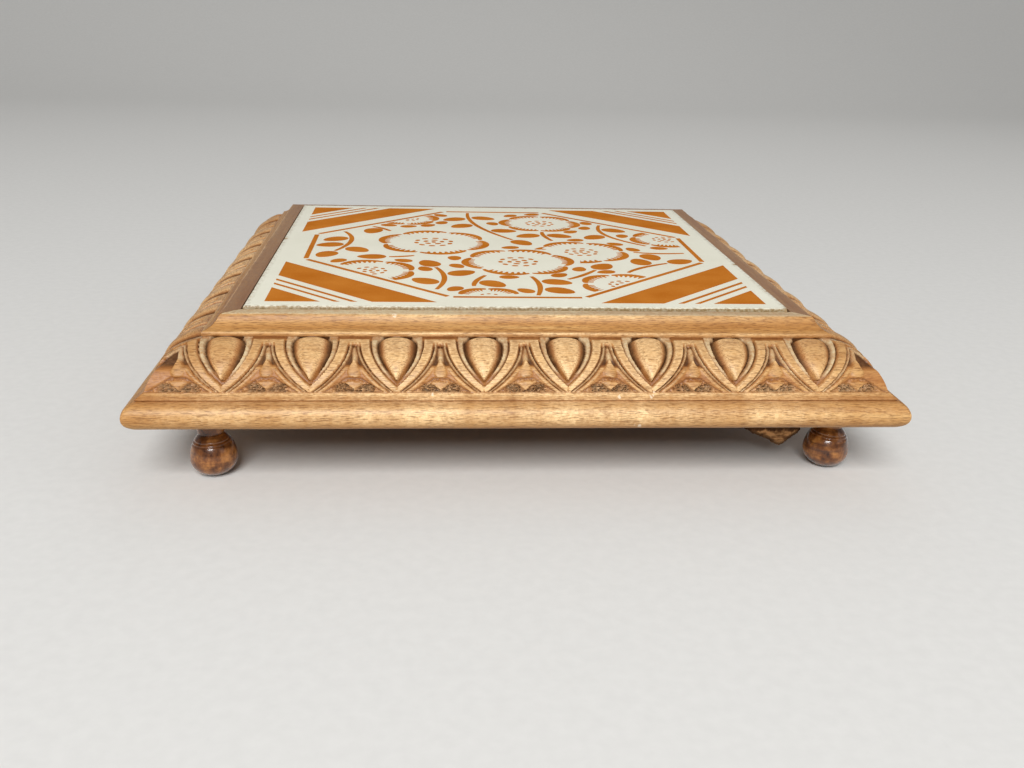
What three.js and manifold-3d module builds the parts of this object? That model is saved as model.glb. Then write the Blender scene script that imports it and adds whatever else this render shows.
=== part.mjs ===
// A square table trivet: a glazed tile set in a carved wooden frame that stands on four turned feet.
// Millimetres, +Z up. The origin is on the table under the middle, and the front faces -Y.

import * as THREE from 'three';
import { mergeVertices } from 'three/addons/utils/BufferGeometryUtils.js';
import Module from 'manifold-3d';

const wasm = await Module();
wasm.setup();

// Clearances
const GLUE_LINE = 0.1;
const DRILL_CLEARANCE = 0.15;
const MITRE_GAP = 0.1;

// Tile, its bed and the board under it
const TILE_SIDE = 150;
const TILE_THICK = 8;
const TILE_EASE = 0.8;
const TILE_EASE_STEPS = 2;
const TILE_PROUD = 0.6;
const TILE_GAP = 0.4;
const KEY_GROOVES = 6;
const KEY_GROOVE_WIDTH = 10;
const KEY_GROOVE_DEPTH = 0.8;
const BED_MARGIN = 3;
const BED_THICK = 1.2;
const BOARD_THICK = 5;
const BOARD_GAP = 0.3;

// Rail section, from the tile outwards and downwards
const LEDGE_WIDTH = 9.4;
const LIP_WIDTH = 4.9;
const COVE_WIDTH = 4.2;
const COVE_DROP = 3.85;
const COVE_HOLLOW = 0.8;
const STEP_DROP = 1.2;
const FRIEZE_WIDTH = 13.1;
const FRIEZE_DROP = 11.35;
const FRIEZE_SWELL = 2.7;
const FILLET_WIDTH = 1.6;
const FILLET_DROP = 1.05;
const QUIRK_DROP = 0.3;
const NOSE_RADIUS = 3.75;
const NOSE_SET = 1;
const ARC_STEPS = 5;

// Egg-and-dart carving: half widths, and distances down the frieze from its top edge
const EGGS_PER_RAIL = 8;
const PATTERN_INSET = 4.6;
const CARVING_TOP = 0.3;
const EGG = { half: 4.6, shoulder: 4, tip: 15, power: 3 };
const SHELL_INNER = { half: 6.65, shoulder: 2, tip: 15.9, power: 2.9 };
const SHELL_OUTER = { half: 9.9, shoulder: 2, tip: 18.2, power: 2.5 };
const GROOVE_DEPTH = 1.3;
const GROOVE_STEPS = 4;
const ARCH_TOP = 3.1;
const LEAF_TOP = 8.2;
const LEAF_SPREAD = 0.68;
const DART_FOOT = 16.6;
const DART_DEPTH = 1.2;
const DART_LEAST_WIDTH = 0.1;
const DART_STEPS = 3;
const CUT_RISE = 0.5;

// Feet: flattened ball drawn up to a neck, collar and peg. Each stands a little off the even inset.
const FOOT_LIFT = 18.75;
const FOOT_INSET = 18.15;
const BALL_RADIUS = 6.35;
const BALL_DROP = 5;
const BALL_RISE = 8.2;
const BALL_WEAR = 0.25;
const NECK_RADIUS = 3.6;
const COLLAR_RADIUS = 4.3;
const NECK_GROOVE = 0.35;
const PEG_RADIUS = 3;
const PEG_LENGTH = 8;
const FOOT_SIDES = 16;
const BALL_STEPS = 9;
const FEET = [
  { name: 'front_left_foot', sideX: -1, sideY: -1, outX: -0.8, outY: 0, lean: 3 },
  { name: 'front_right_foot', sideX: 1, sideY: -1, outX: 4.3, outY: -3.6, lean: 5 },
  { name: 'rear_left_foot', sideX: -1, sideY: 1, outX: 0, outY: 0, lean: 2 },
  { name: 'rear_right_foot', sideX: 1, sideY: 1, outX: 0, outY: 0, lean: 3 },
];

// Backing card under the frame, with a torn strip hanging from its front edge
const CARD_THICK = 0.8;
const CARD_TUCK = 2.2;
const TEAR_WIDTH = 31.5;
const TEAR_TIP = 5.7;
const TEAR_DROP = 12.1;
const TEAR_SIDE_DROP = 8;
const TEAR_SLOPE = 80;

// Fasteners
const BOARD_PIN = { headRadius: 1.2, headThick: 0.6, shankRadius: 0.65, length: 12 };
const BOARD_PIN_ALONG = 40;
const MITRE_NAIL = { headRadius: 1.3, headThick: 0.8, shankRadius: 0.8, length: 22 };
const MITRE_NAIL_SUNK = 1;
const MITRE_NAIL_INSET = 10.2;
const TACK = { headRadius: 2.5, headThick: 0.6, shankRadius: 0.6, length: 8 };
const TACK_ALONG = 46;
const TACK_INSET = 5;
const FASTENER_SIDES = 8;

// Sides in the order of quarter turns from the front
const SIDES = ['front', 'right', 'rear', 'left'];

// Levels above the table
const frameHeight = COVE_DROP + STEP_DROP + FRIEZE_DROP + FILLET_DROP + QUIRK_DROP + 2 * NOSE_RADIUS;
const frameTop = FOOT_LIFT + frameHeight;
const tileBottom = frameTop + TILE_PROUD - TILE_THICK;
const bedBottom = tileBottom - GLUE_LINE - BED_THICK;
const boardTop = bedBottom - GLUE_LINE;
const ledgeTop = boardTop - BOARD_THICK - GLUE_LINE;
const cardTop = FOOT_LIFT - GLUE_LINE;
const cardBottom = cardTop - CARD_THICK;

// Distances from the middle, across a rail
const rebateHalf = TILE_SIDE / 2 + TILE_GAP;
const ledgeInner = rebateHalf - LEDGE_WIDTH;
const lipOuter = rebateHalf + LIP_WIDTH;
const friezeInner = lipOuter + COVE_WIDTH;
const friezeOuter = friezeInner + FRIEZE_WIDTH;
const noseMiddle = friezeOuter + NOSE_SET;
const frameHalf = noseMiddle + NOSE_RADIUS;
const footStand = frameHalf - FOOT_INSET;
const cardHalf = footStand - BALL_RADIUS + CARD_TUCK;
const pitch = (2 * (friezeInner + PATTERN_INSET)) / EGGS_PER_RAIL;

// Heights above the frame's underside, down a rail
const filletBottom = 2 * NOSE_RADIUS + QUIRK_DROP;
const friezeBottom = filletBottom + FILLET_DROP;
const friezeTop = friezeBottom + FRIEZE_DROP;
const coveBottom = friezeTop + STEP_DROP;

const wood = new THREE.MeshStandardMaterial({ color: 0xb5803f, roughness: 0.55 });
const footWood = new THREE.MeshStandardMaterial({ color: 0x5b3118, roughness: 0.25 });
const glaze = new THREE.MeshStandardMaterial({ color: 0xe6e2cf, roughness: 0.15 });
const plaster = new THREE.MeshStandardMaterial({ color: 0xcfc9ba, roughness: 0.9 });
const plywood = new THREE.MeshStandardMaterial({ color: 0xc6a273, roughness: 0.7 });
const card = new THREE.MeshStandardMaterial({ color: 0x8b5a30, roughness: 0.95 });
const steel = new THREE.MeshStandardMaterial({ color: 0x7d7a74, roughness: 0.45, metalness: 1 });

// Closed geometry to a solid that can be joined and cut
function toSolid(geometry) {
  const bare = geometry.clone();
  bare.deleteAttribute('normal');
  bare.deleteAttribute('uv');
  const merged = mergeVertices(bare);
  const corners = merged.index.array;
  const triangles = [];
  for (let i = 0; i < corners.length; i += 3) {
    const [a, b, c] = corners.slice(i, i + 3);
    if (a !== b && b !== c && c !== a) {
      triangles.push(a, b, c);
    }
  }
  return new wasm.Manifold(new wasm.Mesh({
    numProp: 3,
    vertProperties: new Float32Array(merged.attributes.position.array),
    triVerts: new Uint32Array(triangles),
  }));
}

function toGeometry(solid) {
  const mesh = solid.getMesh();
  const geometry = new THREE.BufferGeometry();
  geometry.setAttribute('position', new THREE.BufferAttribute(mesh.vertProperties, 3));
  geometry.setIndex(new THREE.BufferAttribute(mesh.triVerts, 1));
  geometry.computeVertexNormals();
  return geometry;
}

function cutAll(geometry, cutters) {
  let solid = toSolid(geometry);
  for (const cutter of cutters) {
    solid = solid.subtract(toSolid(cutter));
  }
  return toGeometry(solid);
}

// Box between two corners
function block(from, to) {
  const size = new THREE.Vector3().subVectors(to, from);
  const middle = new THREE.Vector3().addVectors(from, to).multiplyScalar(0.5);
  return new THREE.BoxGeometry(size.x, size.y, size.z).translate(middle.x, middle.y, middle.z);
}

function squareSlab(half, bottom, top) {
  return block(new THREE.Vector3(-half, -half, bottom), new THREE.Vector3(half, half, top));
}

// Turned solid about Z, from a profile of [radius, height] pairs that starts and ends on the axis
function turned(profile, sides) {
  const points = profile.map(([radius, height]) => new THREE.Vector2(radius, height));
  return new THREE.LatheGeometry(points, sides).rotateX(Math.PI / 2);
}

// Arc between two section points that rises a given way off its chord, outwards or hollow
function chordArc(start, end, rise, hollow) {
  const half = start.distanceTo(end) / 2;
  const radius = (half * half + rise * rise) / (2 * rise);
  const along = new THREE.Vector2().subVectors(end, start).normalize();
  const outwards = new THREE.Vector2(-along.y, along.x);
  const side = hollow ? 1 : -1;
  const centre = new THREE.Vector2().addVectors(start, end).multiplyScalar(0.5);
  centre.addScaledVector(outwards, side * (radius - rise));
  const angleTo = (point) => Math.atan2(point.y - centre.y, point.x - centre.x);
  return { centre, radius, from: angleTo(start), to: angleTo(end), hollow };
}

const coveStart = new THREE.Vector2(lipOuter, frameHeight);
const coveEnd = new THREE.Vector2(friezeInner, coveBottom);
const coveArc = chordArc(coveStart, coveEnd, COVE_HOLLOW, true);
const friezeStart = new THREE.Vector2(friezeInner, friezeTop);
const friezeEnd = new THREE.Vector2(friezeOuter, friezeBottom);
const friezeArc = chordArc(friezeStart, friezeEnd, FRIEZE_SWELL, false);

function addArc(shape, arc) {
  shape.absarc(arc.centre.x, arc.centre.y, arc.radius, arc.from, arc.to, !arc.hollow);
}

// Rail section: distance from the middle across, height above the underside up
function railSection() {
  const ledge = ledgeTop - FOOT_LIFT;
  const shape = new THREE.Shape();
  shape.moveTo(ledgeInner, 0);
  shape.lineTo(ledgeInner, ledge);
  shape.lineTo(rebateHalf, ledge);
  shape.lineTo(rebateHalf, frameHeight);
  shape.lineTo(lipOuter, frameHeight);
  addArc(shape, coveArc);
  shape.lineTo(friezeInner, friezeTop);
  addArc(shape, friezeArc);
  const filletOuter = friezeOuter + FILLET_WIDTH;
  shape.lineTo(filletOuter, filletBottom);
  const noseStart = Math.acos((filletOuter - noseMiddle) / NOSE_RADIUS);
  shape.absarc(noseMiddle, NOSE_RADIUS, NOSE_RADIUS, noseStart, -Math.PI / 2, true);
  shape.closePath();
  return shape;
}

// Front rail before carving, its length at each point running out to the mitre
function plainRail() {
  const options = { depth: 2, steps: 1, bevelEnabled: false, curveSegments: ARC_STEPS };
  const geometry = new THREE.ExtrudeGeometry(railSection(), options);
  const position = geometry.attributes.position;
  for (let i = 0; i < position.count; i += 1) {
    const across = position.getX(i);
    const height = position.getY(i);
    const end = 1 - position.getZ(i);
    position.setXYZ(i, end * (across - MITRE_GAP), -across, FOOT_LIFT + height);
  }
  return geometry;
}

// Point over the front frieze: along the rail, down the frieze from its top edge, and out from the surface
function friezePoint(along, down, out) {
  const angle = friezeArc.from - down / friezeArc.radius;
  const reach = friezeArc.radius + out;
  const across = friezeArc.centre.x + reach * Math.cos(angle);
  const height = friezeArc.centre.y + reach * Math.sin(angle);
  return new THREE.Vector3(along, -across, FOOT_LIFT + height);
}

// Half width of a pointed oval outline at a distance down the frieze
function ovalHalf(oval, down) {
  const share = Math.max(0, (down - oval.shoulder) / (oval.tip - oval.shoulder));
  return oval.half * (1 - Math.min(1, share) ** oval.power);
}

// Closed sweep of three-cornered sections
function sweep(sections) {
  const corners = 3;
  const vertices = sections.flat().flatMap((point) => point.toArray());
  const last = (sections.length - 1) * corners;
  const index = [0, 2, 1, last, last + 1, last + 2];
  for (let s = 0; s < sections.length - 1; s += 1) {
    for (let k = 0; k < corners; k += 1) {
      const a = s * corners + k;
      const b = s * corners + ((k + 1) % corners);
      index.push(a, b, a + corners, b, b + corners, a + corners);
    }
  }
  const geometry = new THREE.BufferGeometry();
  geometry.setAttribute('position', new THREE.Float32BufferAttribute(vertices, 3));
  geometry.setIndex(index);
  return geometry;
}

// Groove round one egg: down its left side to the point and up its right side
function eggGroove(middle) {
  const sections = [];
  for (let k = -GROOVE_STEPS; k <= GROOVE_STEPS; k += 1) {
    const side = Math.sign(k);
    const share = 1 - Math.abs(k) / GROOVE_STEPS;
    const fall = Math.sin((share * Math.PI) / 2);
    const innerDown = CARVING_TOP + fall * (EGG.tip - CARVING_TOP);
    const outerDown = CARVING_TOP + fall * (SHELL_INNER.tip - CARVING_TOP);
    const inner = side * ovalHalf(EGG, innerDown);
    const outer = side * ovalHalf(SHELL_INNER, outerDown);
    sections.push([
      friezePoint(middle + outer, outerDown, CUT_RISE),
      friezePoint(middle + (inner + outer) / 2, (innerDown + outerDown) / 2, -GROOVE_DEPTH),
      friezePoint(middle + inner, innerDown, CUT_RISE),
    ]);
  }
  return sweep(sections);
}

// One side of the arch between two shells, running down beside the leaf-shaped dart
function dartCut(middle, side) {
  const sections = [];
  for (let k = 0; k <= DART_STEPS; k += 1) {
    const share = k / DART_STEPS;
    const down = ARCH_TOP + share * (DART_FOOT - ARCH_TOP);
    const outer = pitch / 2 - ovalHalf(SHELL_OUTER, down);
    const leaf = Math.max(0, (down - LEAF_TOP) * LEAF_SPREAD);
    const inner = Math.min(leaf, outer - DART_LEAST_WIDTH);
    const corners = [
      friezePoint(middle + side * outer, down, CUT_RISE),
      friezePoint(middle + (side * (inner + outer)) / 2, down, -DART_DEPTH * (1 - share)),
      friezePoint(middle + side * inner, down, CUT_RISE),
    ];
    sections.push(side < 0 ? corners : corners.reverse());
  }
  return sweep(sections);
}

// Front rail with its row of eggs and darts
function carvedRail() {
  const cutters = [];
  for (let k = 0; k < EGGS_PER_RAIL; k += 1) {
    cutters.push(eggGroove((k - (EGGS_PER_RAIL - 1) / 2) * pitch));
  }
  for (let k = 0; k <= EGGS_PER_RAIL; k += 1) {
    const middle = (k - EGGS_PER_RAIL / 2) * pitch;
    cutters.push(dartCut(middle, -1), dartCut(middle, 1));
  }
  return cutAll(plainRail(), cutters);
}

// Fastener driven along +Z with the outside of its head at zero, or the hole that takes it
function fastener(size, clearance = 0, opening = 0) {
  const head = size.headRadius + clearance;
  const shank = size.shankRadius + clearance;
  const profile = [
    [0, -opening],
    [head, -opening],
    [head, size.headThick + clearance],
    [shank, size.headThick + clearance],
    [shank, size.length - size.shankRadius],
    [0, size.length + clearance],
  ];
  return turned(profile, FASTENER_SIDES);
}

// Every fastener: its name, its size, how far its hole runs on past the head, and its place
function placedFasteners() {
  const placed = [];
  const place = (name, size, opening, rotation, position) => {
    const matrix = new THREE.Matrix4().makeRotationFromEuler(new THREE.Euler(...rotation));
    matrix.setPosition(position);
    placed.push({ name, size, opening, matrix });
  };
  const pinAcross = (ledgeInner + rebateHalf) / 2;
  const tackAcross = cardHalf - TACK_INSET;
  for (const [turns, side] of SIDES.entries()) {
    const turn = (turns * Math.PI) / 2;
    const spot = (along, across, height) =>
      new THREE.Vector3(along, -across, height).applyAxisAngle(new THREE.Vector3(0, 0, 1), turn);
    for (const [k, along] of [-BOARD_PIN_ALONG, BOARD_PIN_ALONG].entries()) {
      const top = spot(along, pinAcross, boardTop);
      place(`${side}_board_pin_${k + 1}`, BOARD_PIN, GLUE_LINE, [Math.PI, 0, 0], top);
    }
    for (const [k, along] of [-TACK_ALONG, TACK_ALONG].entries()) {
      const torn = (side === 'front' && along > 0) || (side === 'right' && along < 0);
      if (!torn) {
        const under = spot(along, tackAcross, cardBottom - GLUE_LINE - TACK.headThick);
        place(`${side}_backing_tack_${k + 1}`, TACK, 0, [0, 0, 0], under);
      }
    }
  }
  for (const foot of FEET) {
    const corner = foot.name.replace('_foot', '');
    const entry = new THREE.Vector3(
      foot.sideX * (frameHalf - MITRE_NAIL_SUNK),
      foot.sideY * (frameHalf - MITRE_NAIL_INSET),
      FOOT_LIFT + NOSE_RADIUS);
    const drive = [0, (-foot.sideX * Math.PI) / 2, 0];
    place(`${corner}_mitre_nail`, MITRE_NAIL, 2 * MITRE_NAIL_SUNK, drive, entry);
  }
  return placed;
}

// Foot axis: through the middle of the ball over its standing point, the upper end leaning outwards
function footMatrix(foot) {
  const matrix = new THREE.Matrix4().makeRotationY(THREE.MathUtils.degToRad(foot.sideX * foot.lean));
  return matrix.setPosition(
    foot.sideX * (footStand + foot.outX),
    foot.sideY * (footStand + foot.outY),
    BALL_DROP - BALL_WEAR);
}

// Distance up the leaning axis from the ball's middle to the frame's underside
function footReach(foot) {
  return (FOOT_LIFT - BALL_DROP + BALL_WEAR) / Math.cos(THREE.MathUtils.degToRad(foot.lean));
}

// Half section of a foot from the middle of its ball: flat below, drawn up to neck and collar
function ballProfile(top) {
  const profile = [];
  const join = Math.acos(NECK_RADIUS / BALL_RADIUS);
  for (let k = 0; k <= BALL_STEPS; k += 1) {
    const angle = -Math.PI / 2 + (k / BALL_STEPS) * (join + Math.PI / 2);
    const half = angle < 0 ? BALL_DROP : BALL_RISE;
    profile.push([k === 0 ? 0 : BALL_RADIUS * Math.cos(angle), half * Math.sin(angle)]);
  }
  const shoulder = BALL_RISE * Math.sin(join);
  profile.push([NECK_RADIUS - NECK_GROOVE, shoulder + NECK_GROOVE]);
  profile.push([NECK_RADIUS, shoulder + 2 * NECK_GROOVE]);
  profile.push([COLLAR_RADIUS, top]);
  profile.push([0, top]);
  return profile;
}

function pegProfile(bottom, top, radius) {
  return [[0, bottom], [radius, bottom], [radius, top], [0, top]];
}

// Foot with its collar scribed to the underside and its ball worn flat on the table
function footGeometry(foot) {
  const matrix = footMatrix(foot);
  const reach = footReach(foot);
  const spare = COLLAR_RADIUS;
  const body = turned(ballProfile(reach + spare), FOOT_SIDES).applyMatrix4(matrix);
  const trim = squareSlab(frameHalf, FOOT_LIFT - GLUE_LINE, FOOT_LIFT + BALL_RADIUS + 2 * spare);
  const wear = squareSlab(frameHalf, -2 * BALL_RADIUS, 0);
  const peg = turned(pegProfile(0, reach + PEG_LENGTH, PEG_RADIUS), FOOT_SIDES).applyMatrix4(matrix);
  return toGeometry(toSolid(cutAll(body, [trim, wear])).add(toSolid(peg)));
}

function pegHole(foot) {
  const reach = footReach(foot);
  const top = reach + PEG_LENGTH + DRILL_CLEARANCE;
  const profile = pegProfile(reach - PEG_RADIUS, top, PEG_RADIUS + DRILL_CLEARANCE);
  return turned(profile, FOOT_SIDES).applyMatrix4(footMatrix(foot));
}

// Tile with eased edges and keying grooves across its back
function tileGeometry() {
  const half = TILE_SIDE / 2 - TILE_EASE;
  const outline = new THREE.Shape();
  outline.moveTo(-half, -half);
  outline.lineTo(half, -half);
  outline.lineTo(half, half);
  outline.lineTo(-half, half);
  outline.closePath();
  const options = {
    depth: TILE_THICK - 2 * TILE_EASE,
    bevelEnabled: true,
    bevelSize: TILE_EASE,
    bevelThickness: TILE_EASE,
    bevelSegments: TILE_EASE_STEPS,
  };
  const body = new THREE.ExtrudeGeometry(outline, options).translate(0, 0, tileBottom + TILE_EASE);
  const grooves = [];
  for (let k = 0; k < KEY_GROOVES; k += 1) {
    const middle = ((k + 0.5) / KEY_GROOVES - 0.5) * TILE_SIDE;
    grooves.push(block(
      new THREE.Vector3(middle - KEY_GROOVE_WIDTH / 2, -TILE_SIDE, tileBottom - TILE_THICK),
      new THREE.Vector3(middle + KEY_GROOVE_WIDTH / 2, TILE_SIDE, tileBottom + KEY_GROOVE_DEPTH)));
  }
  return cutAll(body, grooves);
}

// Backing card, with the torn strip bent down along its front edge near the right corner
function cardGeometry(holes) {
  const strip = new THREE.Shape();
  strip.moveTo(cardHalf - TEAR_WIDTH, 0);
  strip.lineTo(cardHalf - TEAR_TIP, -TEAR_DROP);
  strip.lineTo(cardHalf, -TEAR_SIDE_DROP);
  strip.lineTo(cardHalf, 0);
  strip.closePath();
  const hanging = new THREE.ExtrudeGeometry(strip, { depth: CARD_THICK, bevelEnabled: false });
  hanging.rotateX(THREE.MathUtils.degToRad(TEAR_SLOPE));
  hanging.translate(0, -cardHalf + CARD_THICK, cardBottom + CARD_THICK / 2);
  const sheet = toSolid(squareSlab(cardHalf, cardBottom, cardTop));
  return cutAll(toGeometry(sheet.add(toSolid(hanging))), holes);
}

// Fasteners with their holes, then every piece in its place
const trivet = new THREE.Group();

function addPiece(name, geometry, material) {
  const mesh = new THREE.Mesh(geometry, material);
  mesh.name = name;
  trivet.add(mesh);
}

const fasteners = placedFasteners();
const holesFor = (kinds) => fasteners
  .filter(({ size }) => kinds.includes(size))
  .map(({ size, opening, matrix }) => fastener(size, DRILL_CLEARANCE, opening).applyMatrix4(matrix));

const boardHalf = rebateHalf - BOARD_GAP;
addPiece('tile', tileGeometry(), glaze);
addPiece('tile_bed', squareSlab(TILE_SIDE / 2 - BED_MARGIN, bedBottom, bedBottom + BED_THICK), plaster);
addPiece('base_board', cutAll(
  squareSlab(boardHalf, boardTop - BOARD_THICK, boardTop), holesFor([BOARD_PIN])), plywood);

const rail = carvedRail();
const railHoles = [...holesFor([BOARD_PIN, MITRE_NAIL, TACK]), ...FEET.map(pegHole)];
for (const [turns, side] of SIDES.entries()) {
  const placed = rail.clone().rotateZ((turns * Math.PI) / 2);
  addPiece(`${side}_rail`, cutAll(placed, railHoles), wood);
}

for (const foot of FEET) {
  addPiece(foot.name, footGeometry(foot), footWood);
}
addPiece('backing_card', cardGeometry(holesFor([TACK])), card);
for (const { name, size, matrix } of fasteners) {
  addPiece(name, fastener(size).applyMatrix4(matrix), steel);
}

export default trivet;
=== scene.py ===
# Looks of a square trivet: a stencilled tile in a carved wooden frame on four turned feet.
# Sizes are millimetres here and metres in the meshes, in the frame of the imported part.

import math
import random

import bpy
import numpy as np
from mathutils import Matrix, Vector


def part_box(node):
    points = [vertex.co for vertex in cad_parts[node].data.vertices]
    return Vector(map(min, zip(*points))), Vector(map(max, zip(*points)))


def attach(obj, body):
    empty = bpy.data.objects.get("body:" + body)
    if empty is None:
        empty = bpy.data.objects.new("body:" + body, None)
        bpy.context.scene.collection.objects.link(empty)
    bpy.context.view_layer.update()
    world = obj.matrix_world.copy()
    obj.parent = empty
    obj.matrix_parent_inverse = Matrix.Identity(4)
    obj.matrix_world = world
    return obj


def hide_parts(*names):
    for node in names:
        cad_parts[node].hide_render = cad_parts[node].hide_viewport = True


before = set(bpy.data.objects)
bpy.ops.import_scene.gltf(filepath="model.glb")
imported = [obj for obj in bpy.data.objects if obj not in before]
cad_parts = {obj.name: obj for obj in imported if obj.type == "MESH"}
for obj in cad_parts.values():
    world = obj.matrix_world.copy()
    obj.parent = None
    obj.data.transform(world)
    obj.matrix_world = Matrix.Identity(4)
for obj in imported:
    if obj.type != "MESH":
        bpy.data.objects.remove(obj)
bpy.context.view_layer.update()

MM = 0.001
SIDES = ("front", "right", "rear", "left")

# Distances in metres at which points are merged, and at which they count as lying on a cut
MERGE_REACH = 1e-6
CUT_REACH = 1e-7

# Camera of the photograph
CAMERA_PLACE = (-25.23, -354.61, 122.99)
CAMERA_YAW = 4.764
CAMERA_PITCH = 19.736
CAMERA_ROLL = 1.610
CAMERA_LENS = 37.34
SENSOR_WIDTH = 36

# Rail section: distance from the middle of the trivet, and height above the underside of the frame
UNDERSIDE = 18.75
LEDGE_EDGE = (66.0, 0.0)
LEDGE_TOP = (66.0, 11.35)
REBATE_FOOT = (75.4, 11.35)
WALL_FOOT = (75.4, 23.25)
LIP_INNER = (75.4, 25.25)
LIP_OUTER = (80.3, 25.25)
COVE_FOOT = (84.5, 21.4)
COVE_HOLLOW = 0.8
FRIEZE_TOP = (84.5, 20.2)
FRIEZE_FOOT = (97.6, 8.85)
FRIEZE_SWELL = 2.7
FILLET_FOOT = (99.2, 7.8)
QUIRK = (98.5, 7.45)
NOSE_FOOT = (98.6, 0.0)
NOSE_SWELL = 3.77
NOSE_FRONT = (101.8, 4.6)
MITRE_GAP = 0.06
RAIL_STATIONS = 690

# Random seed of the front rail, and how far the grain of each next rail is shifted, in metres
RAIL_SEED = 40
GRAIN_SHIFT = (0.7, 0.13, 0)

# The section clockwise: each point, how far the line from it to the next one bows out, and rows on that line
SECTION = (
    (LEDGE_EDGE, 0, 1), (LEDGE_TOP, 0, 1), (REBATE_FOOT, 0, 1), (WALL_FOOT, 0, 3), (LIP_INNER, 0, 9),
    (LIP_OUTER, -COVE_HOLLOW, 11), (COVE_FOOT, 0, 4), (FRIEZE_TOP, FRIEZE_SWELL, 80), (FRIEZE_FOOT, 0, 5),
    (FILLET_FOOT, 0, 3), (QUIRK, NOSE_SWELL, 19), (NOSE_FOOT, 0, 1),
)

# Age and painted shade of the rails: worn edges as place, strength and reach, the length of the slow waves,
# and the dust on the lip, the painted shade on the lip and the added painted shade on the frieze, for the
# front rail and for the others
WORN_EDGES = ((LIP_OUTER, 0.9, 1.0), (COVE_FOOT, 1.0, 0.45), (FRIEZE_FOOT, 0.9, 1.1),
              (FILLET_FOOT, 0.75, 0.8), (NOSE_FRONT, 1.0, 2.8))
WEAR_WAVE = 50
NOSE_WEAR = 0.03
TOP_WEAR = 0.04
MITRE_WEAR = 0.2
MITRE_REACH = 1.5
CARVING_STAIN_AND_SHADE = 1.15
FRONT_LIP_DUST_AND_SHADE = (0.9, 0.0, 0.0)
OTHER_LIP_DUST_AND_SHADE = (0.12, 0.7, 0.1)

# Egg-and-dart carving: half widths, line widths, and distances down the frieze from its top edge. A pair of
# distances is where a feature fades in or out, or the span that it takes up.
EGGS_PER_RAIL = 8
PITCH = 22.275
EGG = {"half": 4.95, "shoulder": 3.4, "tip": 14.75, "power": 2.35}
EGG_TOP = -0.6
SHELL_INNER = {"half": 7.1, "shoulder": 1.5, "tip": 16.4, "power": 2.5}
SHELL_OUTER = {"half": 9.45, "shoulder": 1.8, "tip": 18.2, "power": 2.5}
EGG_RISE = 0.5
EGG_GROOVE = 0.36
WORN_TIP = (10.5, 14)
LINE_WIDTH = 0.48
TRIM_RIDGE = 0.5
TRIM_START = (2.2, 4.5)
RIDGE_END = (11.5, 14.5)
LEG_WIDTH = 1.25
LEG_START = (9.8, 11.6)
ARCH_TOP = 3.1
ARCH_HALF = 1.2
SPINE_HALF = 0.6
SPINE_SPAN = (4.4, 9.4)
PIT_END = (9.8, 12.4)
TONGUE_TOP = 8.6
TONGUE_WIDEST = 12.3
TONGUE_FOOT = 14.0
TONGUE_HALF = 1.8
BUD_TOP = 14.9
BUD_TIP = 17.3
BUD_HALF = 2.6
PUNCHED_TOP = 15.6
PUNCHED_HALF = 5
BORDER = 17.8
BORDER_LINE = 0.35
# Painted shadow under the cove's step between the eggs: how far down it reaches, and how far from an egg's
# middle it starts
COVE_SHADOW_LINE = 1.0
COVE_SHADOW_START = 6.6
CUT_SOFTNESS = 0.16

# Depths of the cuts below the frieze, and how far the carver's hand strays
DEPTH = {"pit": 1.15, "pit_end": 0.5, "spine": 0.6, "tongue": 0.2, "leg": 0.3, "recess": 0.5, "arch": 0.75,
         "punched": 0.7, "bud": 0.35, "line": 0.8, "trim": 0.25, "face": 0.05, "hollow": 0.9, "ridge": 0.45,
         "groove": 1.35, "border": 0.3}
STRAY_ALONG = 0.2
STRAY_DOWN = 0.15
STRAY_DEPTH = (0.9, 1.08)

# Pale specks on the front rail: along it, height above the underside, and radius
PALE_SPECKS = ((29.5, 1.5, 0.9), (27.9, 2.1, 0.55), (32.9, 8.6, 0.8), (33.7, 9.4, 0.55), (24.3, 8.4, 0.55),
               (-24.3, 8.9, 0.45), (-34.4, 24.9, 0.8))

# Tile and its print
TILE_EASE = 0.4
TILE_CUTS = (260, 130)
TILE_SEED = 7
RIM_WIDTH = 1.6
CHIPS_PER_EDGE = 9
CHIP_REACH = (0.3, 0.7)
CHIP_DEPTH = (0.05, 0.18)
CORNER_CHIP_REACH = 1.5
CORNER_CHIP_DEPTH = 0.4
PRINT_ROOM = 0.04
PRINT_THICK = 0.05
PRINT_HALF = 70
BAND = (93.0, 110.8)
STRIPES = ((114.8, 116.5), (119.6, 121.2))
CORNER_START = 125.0
OCTAGON_HALF = 64.3
OCTAGON_CUT = 83.5
OCTAGON_LINE = 1.6
OCTAGON_ROOM = (2.0, 2.5)
STENCIL_BRIDGE = 0.9

# Seeds in the middle of a blossom: length, width and ring radius as shares of its radius, and seeds in a ring
SEED_LENGTH = 0.118
SEED_WIDTH = 0.082
SEED_RINGS = ((0.0, 1), (0.15, 5), (0.31, 10))
SEED_POINTS = 12

# Petal rims: thickness at the ends, how much thicker the middle is, length of teeth, and steps along a rim
PETAL_RIM = 1.0
PETAL_SWELL = 1.4
PETAL_TOOTH = 1.7
PETAL_STEPS = 50

# Blossoms: middle, radius, turn in degrees, and petals. Earlier ones lie in front of later ones.
BLOSSOMS = (
    (-23.5, 8, 19.5, 12, 6),
    (3.5, -20.5, 18.5, 40, 6),
    (26, -5.5, 16.5, 5, 5),
    (16.5, 42.5, 15.5, 25, 6),
    (-43, -34, 14.5, 0, 5),
    (33, -49, 13.5, 30, 5),
    (-33, 49, 12, 50, 5),
    (59, 16, 13, 15, 5),
    (-8, -64, 10.5, 20, 5),
)

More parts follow.
